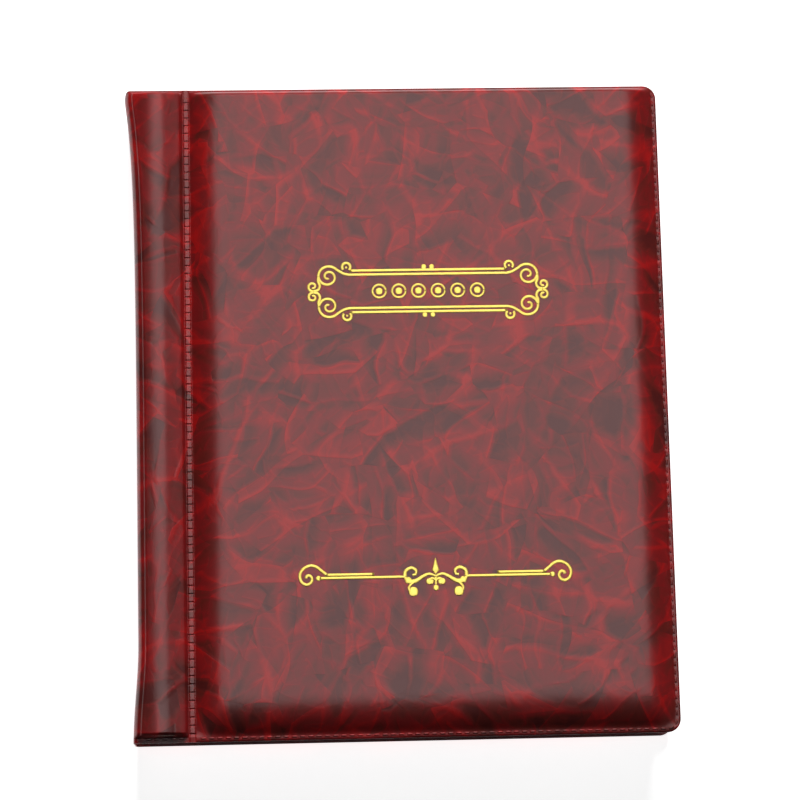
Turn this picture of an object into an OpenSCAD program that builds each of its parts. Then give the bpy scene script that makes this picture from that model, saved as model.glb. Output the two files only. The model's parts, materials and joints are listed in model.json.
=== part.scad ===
// Coin album: padded, heat-welded PVC covers around ten leaves of coin pockets.
// The covers hinge at welded grooves and at the rolled spine edges. Inside, three
// screw posts clamp the leaf margins between two flanges on the spine board.
// Origin: centre of the footprint, on the surface that the back cover lies on.
// +X runs from the spine to the fore edge, +Y along the spine, +Z to the front cover.

/* [Album] */
// Width from the rolled spine edge to the fore edge
album_w = 200; // [195:1:215]
// Height of the covers, along the spine
album_h = 245; // [240:1:260]
// Thickness of the closed album, with its foil print
album_t = 30; // [29:0.5:34]

/* [Covers] */
// Thickness of a padded cover at its crown
cover_t = 4.15; // [4:0.05:4.5]
// Thickness of the PVC skin
skin_t = 0.45; // [0.3:0.05:0.5]
// Thickness of the lining sheet
lining_t = 0.35; // [0.2:0.05:0.4]
// Thickness of the stiffening board
board_t = 1.8; // [1.4:0.1:2]
// Width of the welded hem round each cover
hem_w = 2; // [1.5:0.1:3]
// Radius of the covers' two outer corners
corner_r = 5; // [4:0.5:8]
// Radius of the rolled spine edges
roll_r = 5; // [4:0.5:6]
// Distance from the spine edge to the middle of the welded groove
groove_x = 21.5; // [21:0.5:23]
// Width of the welded groove
groove_w = 2.8; // [2.4:0.1:3.4]

/* [Leaves] */
// Rows of coin pockets on a leaf
pocket_rows = 6; // [5:1:7]
// Columns of coin pockets on a leaf
pocket_columns = 5; // [4:1:6]
// Thickness of a leaf's back film
back_film_t = 0.25; // [0.2:0.05:0.3]
// Thickness of the pocket film
pocket_film_t = 0.2; // [0.15:0.05:0.25]
// Clear depth of a pocket
pocket_gap = 0.5; // [0.4:0.05:0.55]

/* [Binding] */
// Diameter of a post's barrel
post_d = 5; // [4.5:0.5:6]
// Diameter of the post and screw heads
head_d = 9; // [8:0.5:9]
// Distance between neighbouring posts
post_pitch = 80; // [70:5:90]

/* [Foil] */
// Distance from the spine edge to the middle of the foil prints
foil_x = 111.2; // [105:0.1:118]
// Width of the title cartouche
title_w = 89.4; // [85:0.1:95]
// Distance from the middle of the covers up to the middle of the cartouche
title_y = 44.1; // [40:0.1:55]
// Width of the lower ornament
ornament_w = 101.5; // [95:0.5:110]
// Distance from the middle of the covers down to the middle of the ornament
ornament_drop = 63; // [50:0.1:70]

/* [Hidden] */
leaf_count = 10;
foil_t = 0.1;
body_t = album_t - foil_t;
spine_x = -album_w / 2;
fore_x = album_w / 2;
half_h = album_h / 2;
front_inner_z = body_t - cover_t;
joint_gap = 0.3;
weld_t = 0.7;
weld_inset = groove_w / 2;
board_inset = 5;
board_r = 6;
// Slopes of the padding, from the weld up to the crown, at each side of a cover
side_slope = 10;
low_slope = 13;
high_slope = 5;
groove_slope = 3;
// Spine wall
spine_foam_t = 2.55;
spine_board_t = 1.5;
spine_board_end = 5;
spine_inner_x = spine_x + skin_t + spine_foam_t + spine_board_t;
// Block of leaf margins, spacers and flanges
head_t = 1.2;
head_clear = 0.1;
flange_t = 1.2;
flange_x = spine_x + 18;
flange_inset = 4;
block_low = cover_t + head_clear + head_t + flange_t;
block_high = body_t - block_low;
leaf_pitch = (block_high - block_low) / leaf_count;
margin_t = 0.5;
post_x = spine_x + 11;
thread_d = 3;
thread_clear = 0.05;
hole_clear = 0.1;
// Leaves
leaf_t = back_film_t + pocket_gap + pocket_film_t;
leaf_high_x = fore_x - 4;
leaf_half_h = half_h - 3.5;
leaf_r = 3;
// The top leaf flexes beside the flange, and each leaf below it in a wider bend
flex_near = spine_x + 23;
flex_reach = 4.8;
flex_clear = 1.8;
leaf_root = 0.6;
weld_w = 1.2;
slot_h = 1.6;

function leaf_name(k, piece) = str("leaf_", k < 10 ? "0" : "", k, "_", piece);
function leaf_mid(k) = block_low + leaf_pitch * (k - 0.5);
function flex_x(k) = flex_near + flex_reach * (1 - pow(0.5, leaf_count - k));

// ---- Shared shapes ----

// A flat rectangle from x0 to x1 with rounded corners on its +X side only
module fore_outline(x0, x1, y0, y1, r) {
    translate([x0, y0]) square([x1 - x0 - r, y1 - y0]);
    translate([x1 - r - 0.01, y0 + r]) square([r + 0.01, y1 - y0 - 2 * r]);
    for (y = [y0 + r, y1 - r]) translate([x1 - r, y]) circle(r, $fn = 32);
}

// One level of the padding: the cover's outline drawn in by a share of each side's slope
module padding_level(zone, z, share, inset) {
    x0 = zone == "panel" ? spine_x + groove_x + weld_inset : spine_x + roll_r + joint_gap;
    x1 = zone == "panel" ? fore_x - hem_w : spine_x + groove_x - weld_inset;
    in_x0 = zone == "panel" ? side_slope * share + inset : 0;
    in_x1 = (zone == "panel" ? side_slope : groove_slope) * share + inset;
    in_low = hem_w + low_slope * share + inset;
    in_high = hem_w + high_slope * share + inset;
    translate([0, 0, z]) linear_extrude(0.02)
        fore_outline(x0 + in_x0, x1 - in_x1, -half_h + in_low, half_h - in_high, 2.5);
}

// The padding's outside, or with an inset the inside of its skin, from z0 up
module padding(zone, z0, inset) {
    crown = cover_t - inset;
    hull() {
        padding_level(zone, z0, 0, inset);
        padding_level(zone, 0.5 * cover_t, 0.12, inset);
        padding_level(zone, 0.85 * crown, 0.5, inset);
        padding_level(zone, crown - 0.02, 1, inset);
    }
}

// A flat sheet over the whole of a panel or strip
module cover_sheet(zone, z0, z1) {
    translate([0, 0, z0]) linear_extrude(z1 - z0) {
        if (zone == "panel")
            fore_outline(spine_x + groove_x + joint_gap / 2, fore_x, -half_h, half_h, corner_r);
        if (zone == "strip")
            translate([spine_x + roll_r + joint_gap, -half_h])
                square([groove_x - roll_r - 1.5 * joint_gap, album_h]);
    }
}

// Moves a part drawn with its inner face at z = 0 to the front or the back cover
module place(side) {
    if (side == "front") translate([0, 0, front_inner_z]) children();
    if (side == "back") translate([0, 0, cover_t]) mirror([0, 0, 1]) children();
}

// ---- Covers ----

// PVC skin: a welded border with the padded shell standing on it
module cover_skin(side, zone) {
    color("firebrick") place(side) difference() {
        union() {
            cover_sheet(zone, lining_t, weld_t);
            padding(zone, lining_t, 0);
        }
        translate([0, 0, -0.01]) padding(zone, lining_t, skin_t);
    }
}

// Foam that rounds the cover, over and around its board
module cover_foam(side, zone) {
    color("wheat") place(side) difference() {
        padding(zone, lining_t, skin_t + 0.01);
        cover_board_solid(zone);
    }
}

module cover_board_solid(zone) {
    x0 = zone == "panel" ? spine_x + groove_x + weld_inset + board_inset : spine_x + roll_r + 1.5;
    x1 = (zone == "panel" ? fore_x - hem_w : spine_x + groove_x - weld_inset) - board_inset;
    low = hem_w + board_inset;
    r = zone == "panel" ? board_r : board_r / 3;
    translate([x0 + r, -half_h + low + r, lining_t]) linear_extrude(board_t)
        offset(r = r, $fn = 48) square([x1 - x0 - 2 * r, 2 * (half_h - low - r)]);
}

module cover_board(side, zone) {
    color("tan") place(side) cover_board_solid(zone);
}

module cover_lining(side, zone) {
    color("darkred") place(side) cover_sheet(zone, 0, lining_t);
}

// ---- Spine and binding ----

// Cross-section of the spine between its rolled edges, drawn in by inset
module spine_section(inset) {
    translate([inset, roll_r]) square([roll_r - inset, body_t - 2 * roll_r]);
    intersection() {
        square([roll_r, body_t]);
        for (z = [roll_r, body_t - roll_r]) translate([roll_r, z]) circle(roll_r - inset, $fn = 64);
    }
}

module spine_skin() {
    color("firebrick") translate([spine_x, 0, 0]) rotate([90, 0, 0])
        linear_extrude(album_h, center = true) difference() {
            spine_section(0);
            spine_section(skin_t);
            translate([roll_r - 0.01, roll_r]) square([1, body_t - 2 * roll_r]);
        }
}

module spine_foam() {
    color("wheat") translate([spine_x + skin_t, -half_h + spine_board_end, roll_r])
        cube([spine_foam_t, album_h - 2 * spine_board_end, body_t - 2 * roll_r]);
}

module spine_board() {
    color("tan") translate([spine_inner_x - spine_board_t, -half_h + spine_board_end, spine_board_end])
        cube([spine_board_t, album_h - 2 * spine_board_end, body_t - 2 * spine_board_end]);
}

// A strip of the block, from the spine board to x1, with a hole for each post
module block_strip(x1, z0, z1, hole_d) {
    translate([0, 0, z0]) linear_extrude(z1 - z0) difference() {
        translate([spine_inner_x, -half_h + flange_inset])
            square([x1 - spine_inner_x, album_h - 2 * flange_inset]);
        at_posts() circle(d = hole_d, $fn = 48);
    }
}

module at_posts() {
    for (i = [-1:1]) translate([post_x, i * post_pitch, 0]) children();
}

module front_flange() {
    color("dimgray") block_strip(flange_x, block_high, block_high + flange_t, thread_d + 2 * hole_clear);
}

module back_flange() {
    color("dimgray") block_strip(flange_x, block_low - flange_t, block_low, post_d + 2 * hole_clear);
}

// Post: a head under the back flange and a bored barrel up through the block
module binding_posts() {
    barrel_z = block_high - 0.2;
    color("silver") at_posts() rotate_extrude($fn = 64) difference() {
        union() {
            translate([0, block_low - flange_t - head_t]) square([head_d / 2, head_t]);
            translate([0, block_low - flange_t]) square([post_d / 2, barrel_z - block_low + flange_t]);
        }
        translate([0, block_low]) square([thread_d / 2 + thread_clear, block_high]);
    }
}

// Screw: a head on the front flange and a shank down into the post's bore
module binding_screws() {
    shank = 9;
    slot_d = 0.5;
    color("silver") at_posts() difference() {
        rotate_extrude($fn = 64) {
            translate([0, block_high + flange_t]) square([head_d / 2, head_t]);
            translate([0, block_high - shank]) square([thread_d / 2, shank + flange_t + 0.1]);
        }
        translate([-head_d / 2 - 1, -0.5, block_high + flange_t + head_t - slot_d])
            cube([head_d + 2, 1, slot_d + 1]);
    }
}

module spacer_strips() {
    hole = post_d + 2 * hole_clear;
    color("gainsboro") {
        block_strip(flange_x, block_low, leaf_mid(1) - margin_t / 2, hole);
        for (k = [1:leaf_count - 1])
            block_strip(flange_x, leaf_mid(k) + margin_t / 2, leaf_mid(k + 1) - margin_t / 2, hole);
        block_strip(flange_x, leaf_mid(leaf_count) + margin_t / 2, block_high, hole);
    }
}

module leaf_margins() {
    color("aliceblue") for (k = [1:leaf_count])
        block_strip(flex_x(k) - flex_clear, leaf_mid(k) - margin_t / 2, leaf_mid(k) + margin_t / 2,
            post_d + 2 * hole_clear);
}

// ---- Leaves ----

function leaf_x0(k) = flex_x(k) + leaf_root;
function row_h() = 2 * leaf_half_h / pocket_rows;
function column_w(k) = (leaf_high_x - leaf_x0(k)) / pocket_columns;

module leaf_back_film(k) {
    color("aliceblue") translate([0, 0, leaf_mid(k) - leaf_t / 2]) linear_extrude(back_film_t)
        fore_outline(leaf_x0(k), leaf_high_x, -leaf_half_h, leaf_half_h, leaf_r);
}

// Six strips of film, each open along its upper edge, where the coins go in
module leaf_pocket_film(k) {
    z = leaf_mid(k) + leaf_t / 2 - pocket_film_t;
    color("lightblue") for (row = [0:pocket_rows - 1])
        translate([leaf_x0(k), -leaf_half_h + row * row_h(), z])
            cube([leaf_high_x - leaf_x0(k) - leaf_r, row_h() - slot_h, pocket_film_t]);
}

// Weld beads between the films: a bar under each row and one beside each column
module leaf_welds(k) {
    z = leaf_mid(k) - leaf_t / 2 + back_film_t;
    w = leaf_high_x - leaf_x0(k) - leaf_r;
    color("powderblue") translate([leaf_x0(k), -leaf_half_h, z]) {
        for (row = [0:pocket_rows - 1]) {
            translate([0, row * row_h(), 0]) cube([w, weld_w, pocket_gap]);
            for (column = [0:pocket_columns])
                translate([column * (w - weld_w) / pocket_columns, row * row_h() + weld_w, 0])
                    cube([weld_w, row_h() - slot_h - weld_w, pocket_gap]);
        }
    }
}

// ---- Gold foil ----

// An arc of width w from angle a0 counter-clockwise over sweep degrees, under 180
module arc(at, r, w, a0, sweep) {
    reach = 3 * (r + w);
    translate(at) intersection() {
        difference() {
            circle(r + w / 2, $fn = 40);
            circle(r - w / 2, $fn = 40);
        }
        polygon([[0, 0], for (i = [0:3]) reach * [cos(a0 + sweep * i / 3), sin(a0 + sweep * i / 3)]]);
    }
}

module ring(at, r, w) {
    translate(at) difference() {
        circle(r + w / 2, $fn = 40);
        circle(r - w / 2, $fn = 40);
    }
}

module dot(at, r) {
    translate(at) circle(r, $fn = 32);
}

module bar(x0, x1, y, w) {
    translate([x0, y - w / 2]) square([x1 - x0, w]);
}

module mirrored_x() {
    children();
    mirror([1, 0, 0]) children();
}

module mirrored_y() {
    children();
    mirror([0, 1, 0]) children();
}

module foil(y) {
    color("gold") translate([spine_x + foil_x, y, body_t]) linear_extrude(foil_t) children();
}

// Cartouche: double bars between spirals, with smaller spirals at its two ends
module title_frame_foil() {
    line = 0.8;
    end_x = title_w / 2 - 2.7;
    foil(title_y) mirrored_x() mirrored_y() {
        bar(0, 31, 8.1, line);
        bar(0, 31, 6.5, line);
        dot([1.3, 9.3], 0.9);
        ring([31, 9.5], 1.6, line);
        ring([37, 6.1], 3, line);
        arc([37, 6.1], 4.5, line, -60, 150);
        arc([37, 6.1], 4.5, line, 90, 60);
        ring([end_x, 2.6], 2, line);
        dot([end_x, 2.6], 0.7);
    }
}

// Emblem: a plain row of six coin roundels
module title_emblem_foil() {
    pitch = 7.2;
    foil(title_y) for (i = [-2.5:2.5]) {
        ring([i * pitch, 0], 2.5, 0.6);
        dot([i * pitch, 0], 1.3);
    }
}

// Ornament: two scrolls with long tapering arms, and a spear and trefoil between them
module lower_ornament_foil() {
    line = 0.7;
    end_x = ornament_w / 2 - 3;
    foil(-ornament_drop) {
        mirrored_x() {
            bar(11, end_x - 4.3, 0, line);
            bar(24, 42, 0.9, line);
            dot([end_x - 4.3, 0], 0.9);
            ring([end_x, 0], 2.6, line);
            ring([8.9, 1.3], 2.3, 0.9);
            dot([8.9, 1.3], 0.9);
            arc([8.9, 0.2], 4.6, 1, -100, 100);
            dot([8.8, -5.5], 1.7);
            dot([2.4, -2.2], 1.6);
            arc([4.2, -2.6], 3.2, line, 60, 120);
        }
        dot([0, -4.6], 1);
        polygon([[-1, 0], [0, -1], [1, 0], [0, 7.6]]);
    }
}

// ---- Nodes ----

for (side = ["back", "front"], zone = ["panel", "strip"]) {
    cover_skin(side, zone);
    cover_foam(side, zone);
    cover_board(side, zone);
    cover_lining(side, zone);
}
spine_skin();
spine_foam();
spine_board();
front_flange();
back_flange();
binding_posts();
binding_screws();
spacer_strips();
leaf_margins();
title_frame_foil();
title_emblem_foil();
lower_ornament_foil();
for (k = [1:leaf_count]) {
    leaf_back_film(k);
    leaf_pocket_film(k);
    leaf_welds(k);
}
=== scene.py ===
"""Looks for the coin album: padded, heat-welded covers in marbled PVC round ten leaves of coin pockets.

Lengths are millimetres in the shared frame until a mesh is made. Each cover is worked out once, as the
front one lying with its outer face up, and the back one is its mirror image about the album's middle plane.
"""

import json
import math

import bpy
import numpy as np
from mathutils import Matrix, Vector


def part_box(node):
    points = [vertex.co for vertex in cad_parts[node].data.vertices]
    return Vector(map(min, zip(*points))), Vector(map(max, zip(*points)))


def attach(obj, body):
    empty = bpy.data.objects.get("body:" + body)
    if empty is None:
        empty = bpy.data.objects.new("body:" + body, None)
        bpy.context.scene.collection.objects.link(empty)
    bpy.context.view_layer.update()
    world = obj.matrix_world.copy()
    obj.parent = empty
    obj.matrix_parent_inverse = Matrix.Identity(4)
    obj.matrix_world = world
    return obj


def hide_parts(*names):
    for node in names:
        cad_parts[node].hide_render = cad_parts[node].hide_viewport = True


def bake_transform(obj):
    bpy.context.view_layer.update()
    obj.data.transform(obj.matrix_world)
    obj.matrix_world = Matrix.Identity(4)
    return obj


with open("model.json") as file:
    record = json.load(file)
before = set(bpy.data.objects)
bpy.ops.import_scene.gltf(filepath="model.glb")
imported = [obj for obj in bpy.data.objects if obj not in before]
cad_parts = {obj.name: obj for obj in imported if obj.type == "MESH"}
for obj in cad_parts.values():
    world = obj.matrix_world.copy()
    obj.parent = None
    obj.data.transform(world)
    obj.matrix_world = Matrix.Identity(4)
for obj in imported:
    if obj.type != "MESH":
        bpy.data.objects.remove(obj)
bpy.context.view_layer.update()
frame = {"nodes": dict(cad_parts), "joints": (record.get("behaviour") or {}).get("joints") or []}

MM = 0.001
JOINTS = {joint["name"]: joint for joint in frame["joints"]}


def box_mm(node):
    """Lowest and highest corner of a CAD node, in millimetres."""
    low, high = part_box(node)
    return np.array(low) / MM, np.array(high) / MM


def joint_mm(name):
    return np.array(JOINTS[name]["pos_m"]) / MM


# ---- Places taken from the frame ----

SPINE_X = box_mm("spine_skin")[0][0]
FORE_X, HALF_H, TOP_Z = box_mm("front_panel_skin")[1]
FACE_Z = box_mm("front_panel_lining")[0][2]
LINING_T = box_mm("front_panel_lining")[1][2] - FACE_Z
LINING_TOP = FACE_Z + LINING_T
SPINE_FOAM_HIGH = box_mm("spine_foam")[1]
SPINE_BOARD_X = box_mm("spine_board")[0][0]
GROOVE_X, _, WELD_Z = joint_mm("front_panel_hinge")
TITLE_LOW, TITLE_HIGH = box_mm("title_frame_foil")
FOIL_X = TITLE_LOW[0] / 2 + TITLE_HIGH[0] / 2
TITLE_Y = TITLE_LOW[1] / 2 + TITLE_HIGH[1] / 2

# ---- Covers ----

SKIN_T = 0.45
SKIN_MIN_T = 0.1
PAD_RISE = TOP_Z - WELD_Z
CORNER_R = 5.0
GROOVE_HALF = 1.4
PANEL_X0 = GROOVE_X + GROOVE_HALF
STRIP_X1 = GROOVE_X - GROOVE_HALF
# The welded hem. The lower one leans, from HEM_HIGH at its inner side to HEM_LOW at its edge, and from its
# inner side the skin comes back to the weld's level over HEM_FADE
HEM_W = 2.0
TOP_HEM_W = 0.7
HEM_LOW = -0.03
HEM_HIGH = 0.2
HEM_FADE = 1.0
HEM_EDGE_W = 0.5
HEM_EDGE_DROP = 0.22
# Widths of the padding's slopes, from the weld up to the crown
SIDE_SLOPE = 11.5
LOW_SLOPE = 14.5
HIGH_SLOPE = 2.2
STRIP_END_SLOPE = 1.1
STRIP_WELD_SLOPE = 1.2
SLOPE_POWER = 2.2
# The strip's dome: its crest's distance from the spine, how it bends to each side, how far the bend runs to
# the right, and its tilt, in degrees, where the rolled edge meets it
STRIP_CREST = 10.2
STRIP_BEND_LEFT = 0.05
STRIP_BEND_RIGHT = 0.078
STRIP_BEND_RUN = 3.3
STRIP_TILT = 11.3
# The rolled edge, which is tighter at the hems
ROLL_R = 5.0
HEM_ROLL_R = 1.6
# The spine's wall is drawn in between its ends, and flares out towards its upper end but not its last corner
SPINE_PULL = 2.0
FOOT_REACH = 36.0
FLARE = 4.2
FLARE_REACH = 25.0
CORNER_PULL = 1.6
CORNER_REACH = 1.5
# The fine crease along the roll, with angles in degrees round it
CREASE_ANGLE = 58.0
CREASE_SPREAD = 7.5
CREASE_DEPTH = 0.32
# Spacing of the points of the skins and the linings, and the stretches by the edges where they lie closer
SKIN_STEP = 1.0
LINING_STEP = 2.0
FORE_FINE = 14
TOP_FINE = 9


def smooth(t):
    """0 to 1, level at both ends."""
    t = np.clip(t, 0, 1)
    return t * t * (3 - 2 * t)


def slope(distance, width):
    """How far the padding has risen at a distance from its weld, from 0 to 1."""
    return 1 - (1 - np.clip(distance / width, 0, 1)) ** SLOPE_POWER


def end_rise(y, low, high):
    """The padding's rise along the spine direction, with its slopes at the low and high ends."""
    return slope(y + HALF_H - HEM_W, low) * slope(HALF_H - TOP_HEM_W - y, high)


def hem_lift(y):
    """How far the lower hem stands off the weld's level at y."""
    inward = y + HALF_H
    lean = HEM_LOW + (HEM_HIGH - HEM_LOW) * np.clip(inward / HEM_W, 0, 1)
    return lean * (1 - smooth((inward - HEM_W) / HEM_FADE))


def panel_z(x, y):
    """Outer surface of the front panel."""
    across = slope(x - PANEL_X0, SIDE_SLOPE) * slope(FORE_X - HEM_W - x, SIDE_SLOPE)
    return WELD_Z + hem_lift(y) + PAD_RISE * across * end_rise(y, LOW_SLOPE, HIGH_SLOPE)


def spine_pull(y):
    """How far the spine wall is drawn in at y. It flares out towards its upper end."""
    foot = smooth(1 - (y + HALF_H) / FOOT_REACH)
    flare = FLARE * np.exp((y - HALF_H) / FLARE_REACH) - CORNER_PULL * np.exp((y - HALF_H) / CORNER_REACH)
    return SPINE_PULL * (1 - foot) - flare


def strip_shoulder(x):
    """The strip's rise across its width: round over its crest, then straight down, and steep at the weld."""
    left = np.clip(STRIP_CREST + SPINE_X - x, 0, None)
    right = np.clip(x - SPINE_X - STRIP_CREST, 0, None)
    drop = STRIP_BEND_LEFT * left**2 / 2
    drop += STRIP_BEND_RIGHT * (right**2 - np.clip(right - STRIP_BEND_RUN, 0, None) ** 2) / 2
    return slope(STRIP_X1 - x, STRIP_WELD_SLOPE) * (1 - drop / PAD_RISE)


def spans(*parts):
    """Positions through several stretches, each given as (start, end, number of steps)."""
    runs = [np.linspace(a, b, n, endpoint=False) for a, b, n in parts]
    return np.concatenate([*runs, [parts[-1][1]]])


# ---- Meshes ----


def normals_of(grid):
    """Unit normals of a grid of points (rows, columns, 3)."""
    down = np.gradient(grid, axis=0)
    across = np.gradient(grid, axis=1)
    normal = np.cross(across, down)
    return normal / np.maximum(np.linalg.norm(normal, axis=2, keepdims=True), 1e-9)


def mirrored(points):
    """The back cover's place for a point of the front cover."""
    turned = np.array(points, float)
    turned[..., 2] = TOP_Z - turned[..., 2]
    return turned


def mesh_object(name, vertices, faces, flat=None):
    """A mesh from points in millimetres. flat, if given, is each point's place on the unrolled sheet."""
    mesh = bpy.data.meshes.new(name)
    mesh.from_pydata((np.asarray(vertices) * MM).tolist(), [], [tuple(f) for f in faces])
    mesh.polygons.foreach_set("use_smooth", [True] * len(mesh.polygons))
    if flat is not None:
        attribute = mesh.attributes.new("flat", "FLOAT_VECTOR", "POINT")
        attribute.data.foreach_set("vector", (np.asarray(flat) * MM).astype(np.float32).ravel())
    mesh.update()
    piece = bpy.data.objects.new(name, mesh)
    bpy.context.scene.collection.objects.link(piece)
    return piece


def sheet_faces(rows, columns, start=0, flip=False):
    """Quads of a grid of points numbered row by row."""
    index = start + np.arange(rows * columns).reshape(rows, columns)
    quads = np.stack([index[:-1, :-1], index[:-1, 1:], index[1:, 1:], index[1:, :-1]], axis=-1)
    quads = quads.reshape(-1, 4)
    return quads[:, ::-1] if flip else quads


def rim_faces(rows, columns, flip=False):
    """Quads joining the edges of two grids of points, the second numbered after the first."""
    index = np.arange(rows * columns).reshape(rows, columns)
    loop = np.concatenate([index[0, :-1], index[:-1, -1], index[-1, :0:-1], index[:0:-1, 0]])
    ahead = np.roll(loop, -1)
    shift = rows * columns
    quads = np.stack([ahead, loop, loop + shift, ahead + shift], axis=-1)
    return quads[:, ::-1] if flip else quads


def sharpen_rims(piece, first, count):
    """Marks the edges round the faces from first on, so that they don't soften the broad faces."""
    mesh = piece.data
    keys = {tuple(sorted(k)) for p in list(mesh.polygons)[first : first + count] for k in p.edge_keys}
    flags = [tuple(sorted(e.vertices)) in keys for e in mesh.edges]
    attribute = mesh.attributes.get("sharp_edge") or mesh.attributes.new("sharp_edge", "BOOLEAN", "EDGE")
    attribute.data.foreach_set("value", flags)


def shell(name, outer, inner, flat, back=False):
    """A closed piece between two grids of the same size, the front cover's or its mirror image."""
    rows, columns = outer.shape[:2]
    points = np.concatenate([outer.reshape(-1, 3), inner.reshape(-1, 3)])
    places = np.concatenate([flat.reshape(-1, 3)] * 2)
    if back:
        points = mirrored(points)
        places = places * [-1, 1, 1]
    faces = [
        sheet_faces(rows, columns, flip=back),
        sheet_faces(rows, columns, start=rows * columns, flip=not back),
        rim_faces(rows, columns, flip=back),
    ]
    piece = mesh_object(name, points, np.concatenate(faces), places)
    sharpen_rims(piece, len(faces[0]) + len(faces[1]), len(faces[2]))
    return piece


def shifted(z_grid, like):
    """A copy of a grid with other heights."""
    moved = like.copy()
    moved[..., 2] = z_grid
    return moved


# ---- Cover surfaces ----


def grid_of(x, y):
    """Columns along x and rows along y, as two arrays."""
    return np.meshgrid(x, y)


def rounded_rows(x, y, fore_x, half_h, radius, eased):
    """y, with its outermost stretch (eased) drawn in so that a sheet's two fore corners are round."""
    past = np.clip(x - (fore_x - radius), 0, radius)
    limit = half_h - radius + np.sqrt(radius**2 - past**2)
    fixed = half_h - eased
    share = np.clip((np.abs(y) - fixed) / (half_h - fixed), 0, 1)
    return np.where(share > 0, np.sign(y) * (fixed + share * (limit - fixed)), y)


def cover_grid(columns, rows):
    """The grid of a whole cover or panel, round at its fore corners."""
    x, y = grid_of(columns, rows)
    return x, rounded_rows(x, y, FORE_X, HALF_H, CORNER_R, 3 * CORNER_R)


def panel_columns(fine):
    """x positions across the panel, closer together at its slopes and round its corners."""
    corner = FORE_X - CORNER_R + CORNER_R * np.sin(np.linspace(0, math.pi / 2, 13))
    inner = spans(
        (PANEL_X0, PANEL_X0 + SIDE_SLOPE, round(14 / fine)),
        (PANEL_X0 + SIDE_SLOPE, FORE_X - FORE_FINE, round(151 / fine)),
        (FORE_X - FORE_FINE, FORE_X - CORNER_R, round(10 / fine)),
    )
    return np.concatenate([inner[:-1], corner])


def cover_rows(fine):
    """y positions along the spine's direction, closer together at the slopes."""
    return spans(
        (-HALF_H, HEM_W - HALF_H, 5),
        (HEM_W - HALF_H, HEM_W + LOW_SLOPE - HALF_H, round(15 / fine)),
        (HEM_W + LOW_SLOPE - HALF_H, HALF_H - TOP_FINE, round(220 / fine)),
        (HALF_H - TOP_FINE, HALF_H - TOP_HEM_W, round(12 / fine)),
        (HALF_H - TOP_HEM_W, HALF_H, 3),
    )


def hem_distance(x, y):
    """Distance in from the panel's outline, which is round at its two fore corners."""
    dx = FORE_X - x
    dy = HALF_H - np.abs(y)
    corner = CORNER_R - np.hypot(np.clip(CORNER_R - dx, 0, None), np.clip(CORNER_R - dy, 0, None))
    return np.where((dx < CORNER_R) & (dy < CORNER_R), corner, np.minimum(dx, dy))


def panel_grids():
    """Outer and inner surface of the panel's skin, and its unrolled places."""
    x, y = cover_grid(panel_columns(SKIN_STEP), cover_rows(SKIN_STEP))
    outer = np.stack([x, y, panel_z(x, y)], axis=-1)
    # The hem's outer edge is rounded over
    outer[..., 2] -= HEM_EDGE_DROP * smooth(1 - hem_distance(x, y) / HEM_EDGE_W)
    inner = outer - SKIN_T * normals_of(outer)
    inner[..., :2] = outer[..., :2]
    inner[..., 2] = np.maximum(inner[..., 2], LINING_TOP)
    inner[..., 2] = np.minimum(inner[..., 2], outer[..., 2] - SKIN_MIN_T)
    flat = np.stack([x - SPINE_X + SPINE_WRAP, y, 0 * x], axis=-1)
    return outer, inner, flat


# Length of sheet that the half spine and its roll take beyond the album's width
SPINE_WRAP = TOP_Z / 2 - ROLL_R + (math.pi / 2 - 1) * ROLL_R


def strip_section(y):
    """One section through half of the spine, the roll and the strip, as (x, z) and unrolled distance."""
    rise = end_rise(y, STRIP_END_SLOPE, STRIP_END_SLOPE)
    radius = HEM_ROLL_R + (ROLL_R - HEM_ROLL_R) * rise
    wall_x = SPINE_X + spine_pull(y)
    # The roll stops short of level, so that it runs on smoothly into the strip's dome
    last = math.radians(90 - STRIP_TILT * rise)
    roll_end = wall_x + radius * (1 - math.cos(last))
    x = spans((roll_end, STRIP_X1 - STRIP_WELD_SLOPE, 18), (STRIP_X1 - STRIP_WELD_SLOPE, STRIP_X1, 9))
    shoulder = strip_shoulder(x)
    base = WELD_Z + hem_lift(y)
    top = base + PAD_RISE * rise * shoulder[0] + radius * (1 - math.sin(last))
    up = np.linspace(0, 1, 12, endpoint=False)
    wall = np.stack([np.full_like(up, wall_x), TOP_Z / 2 + up * (top - radius - TOP_Z / 2)], axis=-1)
    angle = np.linspace(0, last, 30, endpoint=False)
    dip = CREASE_DEPTH * rise * np.exp(-(((np.degrees(angle) - CREASE_ANGLE) / CREASE_SPREAD) ** 2))
    bend = radius - dip
    roll = np.stack([wall_x + radius - bend * np.cos(angle), top - radius + bend * np.sin(angle)], axis=-1)
    crown = np.stack([x, base + PAD_RISE * rise * shoulder], axis=-1)
    section = np.concatenate([wall, roll, crown])
    steps = np.linalg.norm(np.diff(section, axis=0), axis=1)
    return section, np.concatenate([[0], np.cumsum(steps)])


def strip_grids():
    """Outer and inner surface of the strip's skin with half of the spine's, and its unrolled places."""
    outer, flat = [], []
    for y in cover_rows(SKIN_STEP):
        section, run = strip_section(y)
        along = np.full(len(run), y)
        outer.append(np.column_stack([section[:, 0], along, section[:, 1]]))
        # The unrolled distance is counted back from the weld, so that the marbling crosses it unbroken
        sheet_x = run - run[-1] + STRIP_X1 - SPINE_X + SPINE_WRAP
        flat.append(np.column_stack([sheet_x, along, 0 * run]))
    outer, flat = np.array(outer), np.array(flat)
    inner = outer - SKIN_T * normals_of(outer)
    inner[..., 1] = outer[..., 1]
    inner[:, 0, 2] = outer[:, 0, 2]
    inner[:, -1, 0] = outer[:, -1, 0]
    return outer, inner, flat


# ---- Welded band and hem ----

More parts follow.
